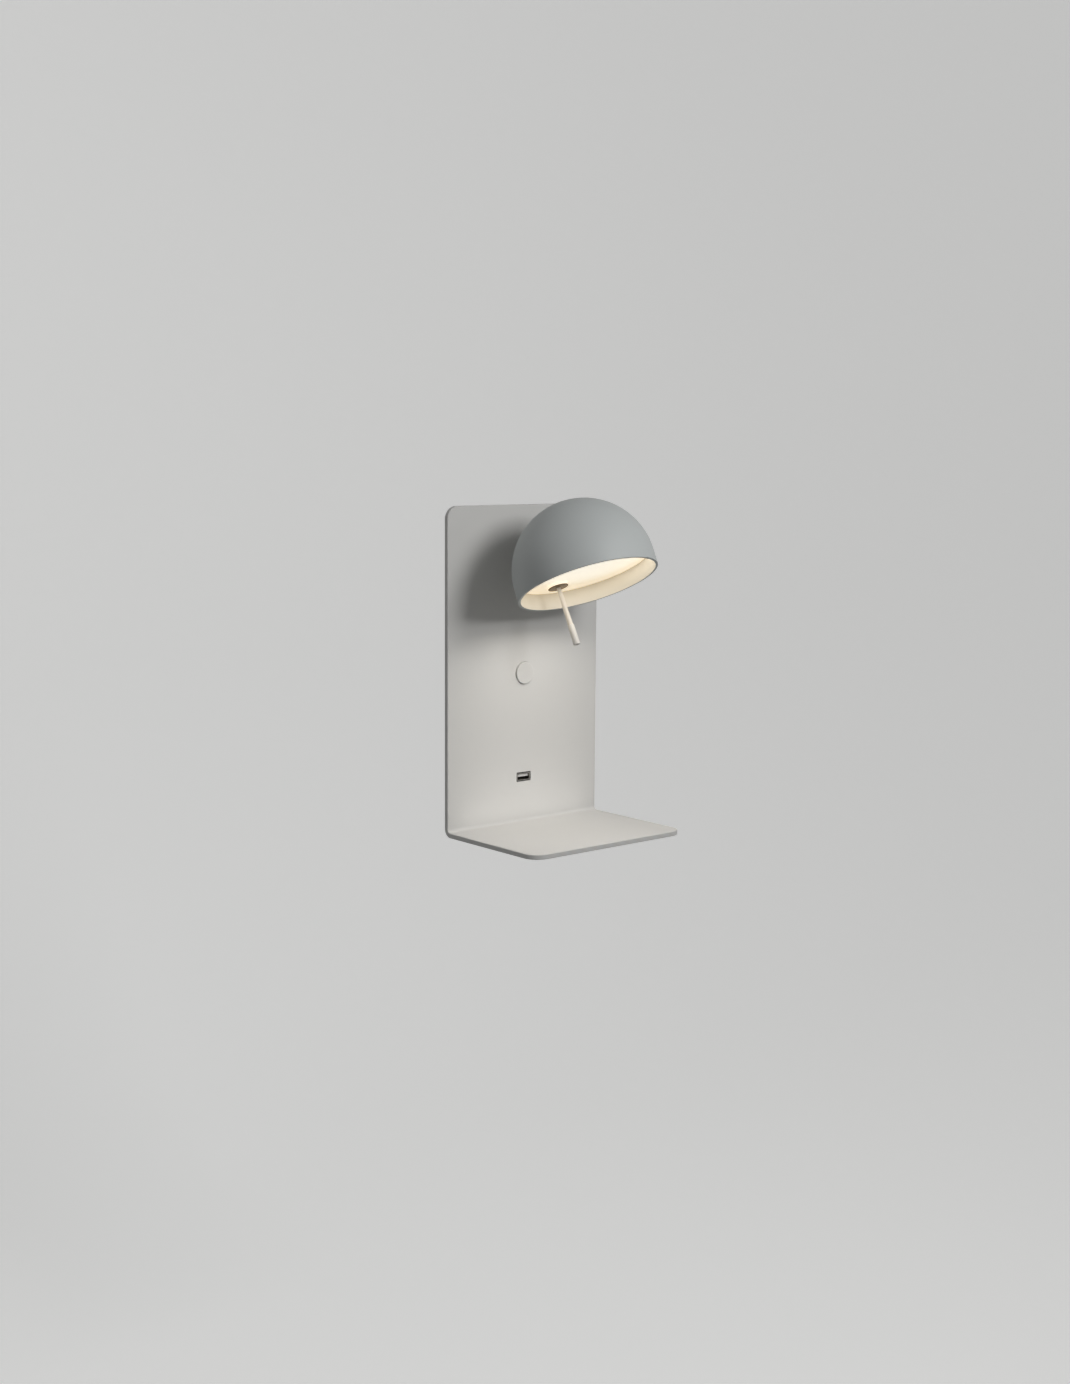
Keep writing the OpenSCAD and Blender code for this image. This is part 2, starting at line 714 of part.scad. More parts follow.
module switch_body() color("darkslategray") {
    difference() {
        union() {
            lugs(switch_w, button_z);
            translate([0, 0, button_z]) forward(bed_y + switch_t, switch_t) square(switch_w, center = true);
        }
        rod_y(0, button_z, switch_in_y + over, switch_floor + 2 * over, plunger_r + run_gap);
        rod_y(0, button_z, switch_out_y, switch_out_y - switch_in_y, switch_cavity_r);
    }
}

module switch_plunger() color("white") {
    rod_y(0, button_z, plunger_head_y, plunger_head_y - button_back_y + plunger_seat, plunger_r);
    rod_y(0, button_z, plunger_head_y + plunger_head_t, plunger_head_t, plunger_head_r);
}

module button_cap() color("gainsboro") {
    button_t = button_back_y - button_front_y;
    translate([0, button_back_y, button_z]) rotate([90, 0, 0]) difference() {
        rotate_extrude() {
            square([button_d / 2, button_t - button_edge_r]);
            square([button_d / 2 - button_edge_r, button_t]);
            translate([button_d / 2 - button_edge_r, button_t - button_edge_r]) circle(button_edge_r);
        }
        translate([0, 0, -over]) cylinder(h = plunger_seat + over, r = plunger_r);
    }
}

// ---------- USB socket ----------

module usb_outline(w, h, y, t, r) {
    translate([0, 0, usb_z]) forward(y, t) round_rect(w, h, r);
}

module usb_case() color("dimgray") {
    difference() {
        union() {
            lugs(usb_case_w, usb_z);
            translate([0, 0, usb_z]) forward(bed_y + usb_case_t, usb_case_t)
                round_rect(usb_case_w, usb_case_h, module_r);
        }
        usb_outline(usb_rim_w, usb_rim_h, usb_back_y, usb_back_y - bed_y + over, usb_rim_r);
    }
}

module usb_surround() color("black") {
    difference() {
        usb_outline(usb_rim_w, usb_rim_h, usb_back_y, usb_depth, usb_rim_r);
        translate([0, 0, usb_z]) forward(usb_back_y + over, usb_depth + 2 * over)
            square([usb_shell_w, usb_shell_h], center = true);
    }
}

module usb_shell() color("silver") {
    translate([0, 0, usb_z]) forward(usb_back_y, usb_depth) difference() {
        square([usb_shell_w, usb_shell_h], center = true);
        square([usb_open_w, usb_open_h], center = true);
    }
}

module usb_tongue() color("white") {
    translate([0, 0, usb_tongue_z]) forward(usb_back_y, usb_depth - usb_tongue_set)
        square([usb_tongue_w, usb_tongue_h], center = true);
}

module usb_contacts() color("gold") {
    for (x = usb_contact_x)
        translate([x, 0, usb_tongue_z - usb_tongue_h / 2 - usb_contact_t / 2])
            forward(usb_back_y, usb_depth - 2 * usb_tongue_set)
                square([usb_contact_w, usb_contact_t], center = true);
}

// ---------- arm and swivel ----------

module arm_bush() color("white") {
    bush_l = bed_y - front_y;
    translate([0, bed_y, arm_z]) rotate([90, 0, 0]) rotate_extrude() polygon([
        [arm_r + run_gap, 0], [bush_r, 0], [bush_r, bush_l], [arm_r + bush_flange_w, bush_l],
        [arm_r + bush_flange_w, bush_l + bush_flange_t], [arm_r + run_gap, bush_l + bush_flange_t]]);
}

module stop_pin() color("silver") {
    rod_y(0, arm_z + stop_circle_r, arm_nut_y, arm_nut_y - back_y, stop_pin_r);
}

module arm_ring(y, t, r) {
    translate([0, 0, arm_z]) forward(y + t, t) ring(r, arm_r);
}

module arm_collar() color("gainsboro") {
    arm_ring(arm_collar_back_y - arm_collar_t, arm_collar_t, arm_r + arm_collar_w);
}

module arm_tube() color("gainsboro") {
    translate([0, 0, arm_z]) forward(arm_tube_end_y, arm_tube_end_y - arm_tube_front_y)
        ring(arm_r, arm_bore_r);
}

module slide_washer() color("white") {
    arm_ring(slide_washer_y, slide_washer_t, swivel_washer_r);
}

module wave_washer() color("silver") {
    translate([0, wave_washer_y, arm_z]) rotate([-90, 0, 0])
        cone_washer(swivel_washer_r, arm_r, wave_washer_t, wave_rise);
}

// A disc with a notch around the stop pin: the notch's ends meet the pin at the swivel's limits
module stop_washer() color("silver") {
    translate([0, 0, arm_z]) forward(stop_washer_y + stop_washer_t, stop_washer_t) difference() {
        ring(stop_rim_r, arm_r);
        intersection() {
            ring(stop_rim_r + over, stop_core_r);
            polygon(concat([[0, 0]], [for (k = [-2 : 2]) let (a = 90 + k * stop_half / 2)
                2 * stop_rim_r * [cos(a), sin(a)]]));
        }
    }
}

module arm_nut() color("silver") {
    translate([0, 0, arm_z]) forward(arm_nut_y + arm_nut_h, arm_nut_h) difference() {
        hexagon(2 * (arm_r + arm_nut_wall));
        circle(arm_r);
    }
}

module arm_end() color("gainsboro") {
    spigot_y = eye_neck + arm_end_l + spigot_l;
    translate([0, pivot_y, arm_z]) difference() {
        union() {
            across(eye_t) {
                circle(eye_r);
                translate([0, -eye_r]) square([eye_neck, 2 * eye_r]);
            }
            rod_y(0, 0, eye_neck + arm_end_l, arm_end_l, arm_r);
            rod_y(0, 0, spigot_y, spigot_l, arm_bore_r);
        }
        rod_x(-eye_t, 2 * eye_t, hinge_pin_r + run_gap);
        rod_y(0, 0, spigot_y + over, spigot_y + over - eye_neck - wire_bore_end, wire_bore_r);
        translate([0, eye_neck + arm_end_l / 2, 0]) cylinder(h = arm_d, r = arm_end_l / 2 - wire_exit_wall);
    }
}

// ---------- leads ----------

module mains_lead() color("black") {
    lead(mains_lead_path, lead_r);
}

module usb_lead() color("black") {
    lead(usb_lead_path, lead_r);
}

module switch_lead() color("black") {
    lead(switch_lead_path, lead_r);
}

module lamp_lead() color("black") {
    lead(lamp_lead_path, lamp_lead_r);
}

// ---------- shade ----------

module shade_profile() {
    intersection() {
        translate([0, dome_z]) ring(shade_r, shade_in_r);
        translate([0, dome_z]) square(2 * shade_r);
    }
    translate([shade_in_r, rim_z]) square([shade_wall, shade_skirt]);
}

// The slot that the arm passes through, punched straight through the dome's wall
module arm_slot() {
    rotate([slot_mid - 90, 0, 0]) linear_extrude(shade_r) {
        for (end = [slot_from_end, slot_to_end]) translate([0, end]) circle(slot_r);
        translate([-slot_r, slot_to_end]) square([2 * slot_r, slot_from_end - slot_to_end]);
    }
}

module shade_shell() color("darkgray") in_shade() {
    difference() {
        translate([0, axis_y, 0]) rotate_extrude() shade_profile();
        arm_slot();
    }
    difference() {
        intersection() {
            at_bosses() translate([0, 0, floor_top_z]) cylinder(h = shade_r, r = boss_r);
            translate([0, axis_y, dome_z]) sphere(shade_in_r + shade_wall / 2);
        }
        at_bosses() m3_hole(floor_top_z - over, floor_top_z + boss_hole_l);
    }
}

module reflector_tray() color("white") in_shade() difference() {
    translate([0, axis_y, 0]) rotate_extrude() {
        translate([0, floor_z]) square([tray_r, tray_t]);
        translate([tray_r - tray_t, diffuser_top_z]) square([tray_t, floor_top_z - diffuser_top_z]);
        translate([tray_r - tray_t, diffuser_top_z]) square([tray_rim_r - tray_r + tray_t, tray_flange_t]);
    }
    stick_bore();
    at_bosses() m3_hole(floor_z - over, floor_top_z + over);
    at_bracket_screws() m3_hole(floor_z - over, floor_top_z + over);
    at_board_screws() m3_hole(floor_z - over, floor_top_z + over);
}

module tray_screws() color("silver") in_shade() {
    at_bosses() translate([0, 0, floor_z]) rotate([180, 0, 0])
        screw(m3_r, tray_t + tray_screw_l, m3_head_r, m3_head_h);
}

module led_board() color("white") in_shade() difference() {
    translate([0, axis_y, floor_z - board_t]) cylinder(h = board_t, r = board_r);
    at_board_screws() m3_hole(floor_z - board_t - over, floor_z + over);
}

module led_chips() color("khaki") in_shade() {
    translate([0, axis_y, floor_z - board_t - chip_t]) for (k = [0 : chip_count - 1])
        rotate([0, 0, 360 * k / chip_count]) translate([chip_circle_r, 0, chip_t / 2])
            cube([chip_w, chip_w, chip_t], center = true);
}

module board_screws() color("silver") in_shade() {
    at_board_screws() translate([0, 0, floor_z - board_t]) rotate([180, 0, 0])
        screw(m3_r, board_t + tray_t + board_screw_bite, m3_head_r, m3_head_h);
}

module heat_sink() color("silver") in_shade() difference() {
    translate([0, axis_y, floor_top_z]) {
        cylinder(h = sink_t, r = sink_r);
        intersection() {
            cylinder(h = fin_h, r = sink_r);
            for (k = [0 : fin_count - 1]) translate([(k - (fin_count - 1) / 2) * fin_pitch, 0, fin_h / 2])
                cube([fin_t, 2 * sink_r, fin_h], center = true);
        }
    }
    at_board_screws() m3_hole(floor_top_z - over, floor_top_z + sink_t - sink_floor);
}

// A disc with a round seat for the collar, raised on its room side
module diffuser() color("lemonchiffon") in_shade() difference() {
    union() {
        translate([0, axis_y, diffuser_z]) cylinder(h = diffuser_t, r = diffuser_r);
        translate([0, stick_back, diffuser_z - seat_h])
            cylinder(h = seat_h + diffuser_t, r = collar_d / 2 - collar_overlap);
    }
    translate([0, stick_back, diffuser_z - seat_h - over])
        cylinder(h = seat_h + diffuser_t + 2 * over, r = collar_neck_r + run_gap);
}

// ---------- hinge ----------

module hinge_bracket() color("silver") in_shade() difference() {
    union() {
        translate([-bracket_w / 2, -ear_r, floor_top_z]) cube([bracket_w, 2 * ear_r, bracket_t]);
        for (side = [-1, 1]) translate([side * (ear_in_x + ear_t / 2), 0, 0]) across(ear_t) {
            circle(ear_r);
            translate([-ear_r, floor_top_z]) square([2 * ear_r, -floor_top_z]);
        }
    }
    rod_x(-bracket_w, 2 * bracket_w, hinge_pin_r + run_gap);
    stick_bore();
    at_bracket_screws() m3_hole(floor_top_z - over, bracket_top_z + over);
}

module bracket_screws() color("silver") in_shade() {
    at_bracket_screws() translate([0, 0, floor_z]) rotate([180, 0, 0])
        screw(m3_r, bracket_screw_l, m3_head_r, m3_head_h);
}

module hinge_screw() color("silver") in_shade() {
    translate([ear_out_x, 0, 0]) rotate([0, 90, 0])
        screw(hinge_pin_r, hinge_screw_l, hinge_head_r, hinge_head_h);
}

module hinge_washers() color("white") in_shade() {
    for (side = [-1, 1]) translate([side * (ear_in_x - friction_t / 2), 0, 0]) rotate([0, 90, 0])
        linear_extrude(friction_t, center = true) ring(hinge_washer_r, hinge_pin_r + run_gap);
}

module hinge_spring_washer() color("silver") in_shade() {
    bore = hinge_pin_r + run_gap;
    translate([-ear_out_x, 0, 0]) rotate([0, -90, 0])
        cone_washer(hinge_pin_r + hinge_spring_wall, bore, hinge_spring_t, hinge_spring_rise);
}

module hinge_nut() color("silver") in_shade() {
    translate([hinge_nut_x, 0, 0]) rotate([0, -90, 0]) linear_extrude(hinge_nut_h) difference() {
        hexagon(hinge_nut_w);
        circle(hinge_pin_r + run_gap);
    }
}

// ---------- steering stick ----------

// Brings a piece drawn on the stick's axis to its place in the shade
module at_stick() {
    translate([0, stick_back, diffuser_z]) rotate([-stick_lean, 0, 0]) children();
}

// The stick's hole through the collar, the tray and the bracket
module stick_bore() {
    at_stick() translate([0, 0, stick_taper_z - over])
        cylinder(h = stick_top_z - stick_taper_z + 2 * over, r = stick_r + run_gap);
}

module stick_collar() color("dimgray") in_shade() difference() {
    translate([0, stick_back, diffuser_z - seat_h]) {
        translate([0, 0, -collar_t]) cylinder(h = collar_t, r = collar_d / 2);
        cylinder(h = seat_h + diffuser_t, r = collar_neck_r);
    }
    stick_bore();
}

module stick_rod() color("white") in_shade() at_stick() rotate_extrude() polygon([
    [0, stick_top_z], [stick_r, stick_top_z], [stick_r, stick_taper_z], [stick_end_d / 2, grip_z],
    [grip_core_r, grip_z], [grip_core_r, tip_z + grip_end_t], [0, tip_z + grip_end_t]]);

// An open sleeve, in which the stick ends a little short of the tip
module stick_grip() color("ivory") in_shade() at_stick() difference() {
    translate([0, 0, tip_z]) rotate_extrude() {
        translate([0, grip_edge_r]) square([grip_d / 2, grip_l - grip_edge_r]);
        square([grip_d / 2 - grip_edge_r, grip_l]);
        translate([grip_d / 2 - grip_edge_r, grip_edge_r]) circle(grip_edge_r);
    }
    translate([0, 0, tip_z - over]) cylinder(h = grip_l + 2 * over, r = grip_core_r + run_gap);
}

panel_shelf();
panel_studs();
rear_housing();
housing_nuts();
wall_plate();
side_screws();
cable_grommet();
terminal_block();
terminal_screws();
led_driver();
driver_lid();
module_screws();
switch_body();
switch_plunger();
button_cap();
usb_case();
usb_surround();
usb_shell();
usb_tongue();
usb_contacts();
arm_bush();
stop_pin();
arm_collar();
arm_tube();
arm_end();
slide_washer();
wave_washer();
stop_washer();
arm_nut();
mains_lead();
usb_lead();
switch_lead();
lamp_lead();
shade_shell();
reflector_tray();
tray_screws();
led_board();
led_chips();
board_screws();
heat_sink();
diffuser();
hinge_bracket();
bracket_screws();
hinge_screw();
hinge_washers();
hinge_spring_washer();
hinge_nut();
stick_collar();
stick_rod();
stick_grip();
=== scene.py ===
import json
import math

import bmesh
import bpy
from mathutils import Matrix, Vector

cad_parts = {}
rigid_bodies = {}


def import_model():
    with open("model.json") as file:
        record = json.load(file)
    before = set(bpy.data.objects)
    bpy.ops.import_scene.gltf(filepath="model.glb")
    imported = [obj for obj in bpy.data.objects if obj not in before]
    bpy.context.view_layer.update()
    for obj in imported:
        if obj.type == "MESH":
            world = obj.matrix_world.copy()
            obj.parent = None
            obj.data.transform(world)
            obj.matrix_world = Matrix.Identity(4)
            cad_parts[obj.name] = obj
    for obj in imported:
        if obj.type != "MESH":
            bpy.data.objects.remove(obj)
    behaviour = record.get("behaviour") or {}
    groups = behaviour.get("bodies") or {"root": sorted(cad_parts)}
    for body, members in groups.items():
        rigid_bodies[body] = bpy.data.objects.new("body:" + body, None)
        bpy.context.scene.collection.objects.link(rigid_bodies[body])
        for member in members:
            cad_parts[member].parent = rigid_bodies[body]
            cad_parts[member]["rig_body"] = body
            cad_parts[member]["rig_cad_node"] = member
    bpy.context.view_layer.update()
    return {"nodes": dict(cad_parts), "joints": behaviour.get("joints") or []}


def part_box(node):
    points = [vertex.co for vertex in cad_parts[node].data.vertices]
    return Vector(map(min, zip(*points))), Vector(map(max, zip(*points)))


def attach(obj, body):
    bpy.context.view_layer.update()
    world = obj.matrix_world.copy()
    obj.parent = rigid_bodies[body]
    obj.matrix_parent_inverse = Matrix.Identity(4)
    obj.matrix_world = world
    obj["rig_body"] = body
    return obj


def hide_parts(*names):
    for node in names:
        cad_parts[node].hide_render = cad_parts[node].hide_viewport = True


# A wall lamp with a shelf. Lengths are in metres, +Z is up, +Y goes into the wall and -Y faces the room.
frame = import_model()
nodes = frame["nodes"]


# ---- Bent plate: panel and shelf ---------------------------------------------------------------------------
# One 4 mm steel plate, cut with rounded corners and bent forward at the bottom to make the shelf, then powder
# coated off-white. Its holes take the push button, the arm's bush and the USB socket.

def only(piece):
    """Select one piece alone."""
    bpy.ops.object.select_all(action="DESELECT")
    piece.select_set(True)
    bpy.context.view_layer.objects.active = piece


def start(name):
    """The shape just added becomes a piece of this name, open in edit mode."""
    piece = bpy.context.object
    piece.name = piece.data.name = name
    only(piece)
    bpy.ops.object.mode_set(mode="EDIT")
    return piece


def apply_place():
    """Put the selected piece's place, turn and scale into its mesh."""
    bpy.ops.object.transform_apply(location=True, rotation=True, scale=True)


def settle():
    """Put the open piece's place, turn and scale into its mesh, and leave it open."""
    bpy.ops.object.mode_set(mode="OBJECT")
    apply_place()
    bpy.ops.object.mode_set(mode="EDIT")


def pick(kind, wanted):
    """Select only the corners, edges or faces of the open piece for which wanted() is true."""
    bpy.ops.mesh.select_mode(type=kind)
    bpy.ops.mesh.select_all(action="DESELECT")
    mesh = bmesh.from_edit_mesh(bpy.context.object.data)
    for part in {"VERT": mesh.verts, "EDGE": mesh.edges, "FACE": mesh.faces}[kind]:
        if wanted(part):
            part.select_set(True)
    mesh.select_flush_mode()
    bmesh.update_edit_mesh(bpy.context.object.data)


def near(a, b):
    """Equal to a hundredth of a millimetre."""
    return abs(a - b) < 1e-5


def middle(edge):
    """The point halfway along an edge."""
    return (edge.verts[0].co + edge.verts[1].co) / 2


def move(by):
    """Move what is selected in the open piece."""
    bpy.ops.transform.translate(value=by, orient_type="GLOBAL")


def extrude(by):
    """Extrude what is selected in the open piece."""
    bpy.ops.mesh.extrude_region_move(TRANSFORM_OT_translate={"value": by, "orient_type": "GLOBAL"})


def close(piece):
    """Leave edit mode with all faces pointing outwards."""
    bpy.ops.mesh.select_all(action="SELECT")
    bpy.ops.mesh.remove_doubles(threshold=1e-6)
    bpy.ops.mesh.normals_make_consistent(inside=False)
    bpy.ops.object.mode_set(mode="OBJECT")
    return piece


def modify(piece, kind, **settings):
    """Add a modifier and apply it."""
    only(piece)
    added = piece.modifiers.new(kind.lower(), kind)
    for key, value in settings.items():
        setattr(added, key, value)
    bpy.ops.object.modifier_apply(modifier=added.name)


def round_edges(piece, radius, segments, degrees=60, **settings):
    """Round the edges that are sharper than an angle."""
    modify(piece, "BEVEL", width=radius, segments=segments, limit_method="ANGLE",
           angle_limit=math.radians(degrees), **settings)


def smooth(piece, degrees=40):
    """Shade a piece smooth, but not across edges that are sharper than an angle."""
    only(piece)
    bpy.ops.object.shade_smooth_by_angle(angle=math.radians(degrees))


def combine(piece, shape, operation):
    """Cut a shape out of a piece, join it on or keep what they share, and use the shape up."""
    modify(piece, "BOOLEAN", operation=operation, solver="EXACT", object=shape)
    bpy.data.objects.remove(shape)


def cut(piece, tool):
    """Cut a tool's shape out of a piece."""
    combine(piece, tool, "DIFFERENCE")


quarter_turn = math.pi / 2


def rod(radius, length, place=(0, 0, 0), segments=64, lying=False):
    """A round bar along Z, or lying along Y, centred on a place."""
    bpy.ops.mesh.primitive_cylinder_add(vertices=segments, radius=radius, depth=length, location=place,
                                        rotation=(quarter_turn if lying else 0, 0, 0))
    apply_place()
    return bpy.context.object


joints = {joint["name"]: joint for joint in frame["joints"]}
plate_low, plate_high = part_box("panel_shelf")
button_low, button_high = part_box("button_cap")
usb_low, usb_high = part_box("usb_shell")
plate_t = 0.004
panel_front = plate_high.y - plate_t
shelf_top = plate_low.z + plate_t
bend_r = 0.003
bend_top = shelf_top + bend_r
panel_corner_r = 0.0105
shelf_corner_r = 0.013
plate_edge_r = 0.0007
hole_edge_r = 0.0002
button_hole_r = 0.0093
arm_hole_r = 0.00705
usb_hole_w = 0.0152
usb_hole_h = 0.0078
usb_hole_corner_r = 0.0006
button_z = (button_low.z + button_high.z) / 2
arm_z = joints["arm_swivel"]["pos_m"][2]
usb_z = (usb_low.z + usb_high.z) / 2

bpy.ops.mesh.primitive_plane_add(size=1, rotation=(quarter_turn, 0, 0), location=(0, panel_front, 0))
plate = start("plate_with_shelf")
bpy.ops.transform.resize(value=(plate_high.x - plate_low.x, 1, plate_high.z - bend_top), orient_type="GLOBAL")
move((0, 0, (plate_high.z + bend_top) / 2))
settle()
pick("EDGE", lambda e: near(middle(e).z, bend_top))
bpy.ops.mesh.spin(steps=12, angle=quarter_turn, center=(0, panel_front - bend_r, bend_top), axis=(1, 0, 0))
pick("EDGE", lambda e: near(middle(e).z, shelf_top))
extrude((0, plate_low.y - panel_front + bend_r, 0))
pick("VERT", lambda v: near(v.co.z, plate_high.z))
bpy.ops.mesh.bevel(offset=panel_corner_r, segments=16, affect="VERTICES")
pick("VERT", lambda v: near(v.co.y, plate_low.y))
bpy.ops.mesh.bevel(offset=shelf_corner_r, segments=16, affect="VERTICES")
close(plate)
modify(plate, "SOLIDIFY", thickness=plate_t, offset=1, use_even_offset=True)
round_edges(plate, plate_edge_r, 3)

# Each hole is cut by a tool that reaches through the plate
tool_y = panel_front + plate_t / 2
tool_length = 0.01
cut(plate, rod(button_hole_r, tool_length, (0, tool_y, button_z), 96, lying=True))
cut(plate, rod(arm_hole_r, tool_length, (0, tool_y, arm_z), lying=True))
bpy.ops.mesh.primitive_cube_add(size=1, location=(0, tool_y, usb_z),
                                scale=(usb_hole_w, tool_length, usb_hole_h))
usb_hole = start("usb_hole")
settle()
pick("EDGE", lambda e: abs(e.verts[0].co.y - e.verts[1].co.y) > tool_length / 2)
bpy.ops.mesh.bevel(offset=usb_hole_corner_r, segments=6)
close(usb_hole)
cut(plate, usb_hole)
round_edges(plate, hole_edge_r, 2)
smooth(plate, 35)
modify(plate, "WEIGHTED_NORMAL", keep_sharp=True, weight=100)


def screen(red, green, blue):
    """A colour as a screen shows it, 0 to 255, in Blender's linear values."""
    shares = (red / 255, green / 255, blue / 255)
    return [((s + 0.055) / 1.055) ** 2.4 if s > 0.04 else s / 12.92 for s in shares] + [1]


def add(tree, kind, sockets=(), **choices):
    """A shader node: its choices by name, its sockets by name or number, each a value or a link."""
    made = tree.nodes.new("ShaderNode" + kind)
    for key, value in choices.items():
        setattr(made, key, value)
    for key, value in dict(sockets).items():
        if isinstance(value, bpy.types.NodeSocket):
            tree.links.new(value, made.inputs[key])
        else:
            made.inputs[key].default_value = value
    return made


def calc(tree, operation, *values):
    """The result of a sum on numbers or links."""
    return add(tree, "Math", dict(enumerate(values)), operation=operation).outputs[0]


def position(tree):
    """Where a point lies on its piece, in the piece's own coordinates."""
    return add(tree, "TexCoord").outputs["Object"]


def noise(tree, place, scale, detail):
    """A soft pattern from 0 to 1."""
    return add(tree, "TexNoise", {"Vector": place, "Scale": scale, "Detail": detail}).outputs[0]


def varied(tree, colour, factor, amount):
    """The colour made lighter and darker by a 0 to 1 pattern, by the given amount each way."""
    gain = calc(tree, "MULTIPLY_ADD", calc(tree, "SUBTRACT", factor, 0.5), amount, 1.0)
    return add(tree, "VectorMath", {0: colour, 1: gain}, operation="MULTIPLY").outputs[0]


def skin_group(name, **inputs):
    """An empty node group that takes these values and is to put out a colour, a roughness and a height."""
    tree = bpy.data.node_groups.new(name, "ShaderNodeTree")
    color, number = "NodeSocketColor", "NodeSocketFloat"
    for label, value in inputs.items():
        kind = color if label == "Color" else number
        tree.interface.new_socket(label, in_out="INPUT", socket_type=kind).default_value = value
    for label, kind in (("Color", color), ("Roughness", number), ("Height", number)):
        tree.interface.new_socket(label, in_out="OUTPUT", socket_type=kind)
    return tree, tree.nodes.new("NodeGroupInput").outputs


def put_out(tree, colour, roughness, height):
    """Join a skin's results to its group's outputs."""
    out = tree.nodes.new("NodeGroupOutput").inputs
    for label, value in (("Color", colour), ("Roughness", roughness), ("Height", height)):
        tree.links.new(value, out[label])


# The skin of a powder coat: orange peel about a millimetre across, a fine sand-like grain and faint clouds
powder, given = skin_group("powder_coat_skin", Color=(1, 1, 1, 1), Clouds=0.05, Peel=900, Roughness=0.6)
place = position(powder)
clouds = noise(powder, place, 16, 3)
peel = noise(powder, place, given["Peel"], 1)
sand = noise(powder, place, calc(powder, "MULTIPLY", given["Peel"], 4), 2)
cloudy = varied(powder, given["Color"], clouds, given["Clouds"])
speckled = varied(powder, cloudy, sand, 0.06)
rough = calc(powder, "MULTIPLY_ADD", peel, 0.12, given["Roughness"])
put_out(powder, speckled, rough, calc(powder, "MULTIPLY_ADD", sand, 0.25, peel))


def finish(name, skin, relief, metallic=0.0, **values):
    """A material whose colour, roughness and relief come from a skin. The relief is its depth in metres."""
    made = bpy.data.materials.new(name)
    made.use_nodes = True
    tree = made.node_tree
    principled = tree.nodes["Principled BSDF"]
    surface = add(tree, "Group", values, node_tree=skin).outputs
    bump = add(tree, "Bump", {"Height": surface["Height"], "Distance": relief, "Strength": 1.0})
    tree.links.new(surface["Color"], principled.inputs["Base Color"])
    tree.links.new(surface["Roughness"], principled.inputs["Roughness"])
    tree.links.new(bump.outputs["Normal"], principled.inputs["Normal"])
    principled.inputs["Metallic"].default_value = metallic
    return made


def hand_over(piece, material, body, node):
    """Give a finished piece its material and its body, and hide the CAD node that it stands for."""
    if not piece.data.materials:
        piece.data.materials.append(material)
    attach(piece, body)
    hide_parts(node)


def dress(material, *names):
    """Give CAD nodes a material."""
    for name in names:
        nodes[name].data.materials.clear()
        nodes[name].data.materials.append(material)


plate_paint = finish("plate_paint", powder, 0.00003, Color=screen(213, 212, 209), Clouds=0.03, Peel=800,
                     Roughness=0.5)
hand_over(plate, plate_paint, "lamp_body", "panel_shelf")


# ---- Rear housing with its studs and nuts ------------------------------------------------------------------
# A shallow box folded from 1.5 mm steel behind the panel, coated dark grey, holds the panel off the wall. It
# is drawn up by nuts on four zinc-plated studs that are welded to the panel's back.

def softened(name, node, edge_r, degrees=30):
    """A copy of a CAD node with its triangles merged and its sharp edges rounded."""
    piece = nodes[node].copy()
    piece.data = nodes[node].data.copy()
    bpy.context.scene.collection.objects.link(piece)
    piece.parent = None
    del piece["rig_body"], piece["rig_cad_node"]
    piece.name = piece.data.name = name
    piece.data.materials.clear()
    only(piece)
    bpy.ops.mesh.customdata_custom_splitnormals_clear()
    bpy.ops.object.mode_set(mode="EDIT")
    bpy.ops.mesh.select_all(action="SELECT")
    bpy.ops.mesh.remove_doubles(threshold=1e-6)
    bpy.ops.mesh.dissolve_limited(angle_limit=math.radians(0.5))
    bpy.ops.object.mode_set(mode="OBJECT")
    round_edges(piece, edge_r, 2, degrees, miter_outer="MITER_ARC")
    smooth(piece, degrees)
    return piece


housing_paint = finish("housing_paint", powder, 0.00004, Color=screen(104, 103, 101), Clouds=0.06, Peel=700,
                       Roughness=0.52)
housing = softened("rear_housing_box", "rear_housing", 0.0004, 40)
hand_over(housing, housing_paint, "lamp_body", "rear_housing")

# The skin of plated or bare metal: rolling or turning streaks, drawn out along Z, and a cloudy plating
plated, given = skin_group("plated_metal_skin", Color=(1, 1, 1, 1), Clouds=0.1, Streaks=300, Roughness=0.3)
place = position(plated)
clouds = noise(plated, place, 60, 4)
drawn = add(plated, "Mapping", {"Vector": place, "Scale": (1, 1, 0.04)}).outputs[0]
streaks = noise(plated, drawn, given["Streaks"], 3)
cloudy = varied(plated, given["Color"], clouds, given["Clouds"])
streaked = varied(plated, cloudy, streaks, 0.12)
rough = calc(plated, "MULTIPLY_ADD", streaks, 0.2, given["Roughness"])
put_out(plated, streaked, rough, streaks)

zinc_steel = finish("zinc_steel", plated, 0.00001, metallic=1.0, Color=screen(196, 198, 202), Clouds=0.16,
                    Streaks=500, Roughness=0.26)
dress(zinc_steel, "panel_studs", "housing_nuts")


# ---- Wall plate, its side screws and the cable inlet -------------------------------------------------------
# A flat zinc-plated steel plate is screwed to the wall through four holes, and two screws in each side of the
# housing grip its folded tabs. A black rubber grommet lines the hole for the mains lead.

wall_plate = softened("wall_plate_zinc", "wall_plate", 0.0002, 40)
hand_over(wall_plate, zinc_steel, "lamp_body", "wall_plate")
screws = softened("side_screws_zinc", "side_screws", 0.0002)
hand_over(screws, zinc_steel, "lamp_body", "side_screws")

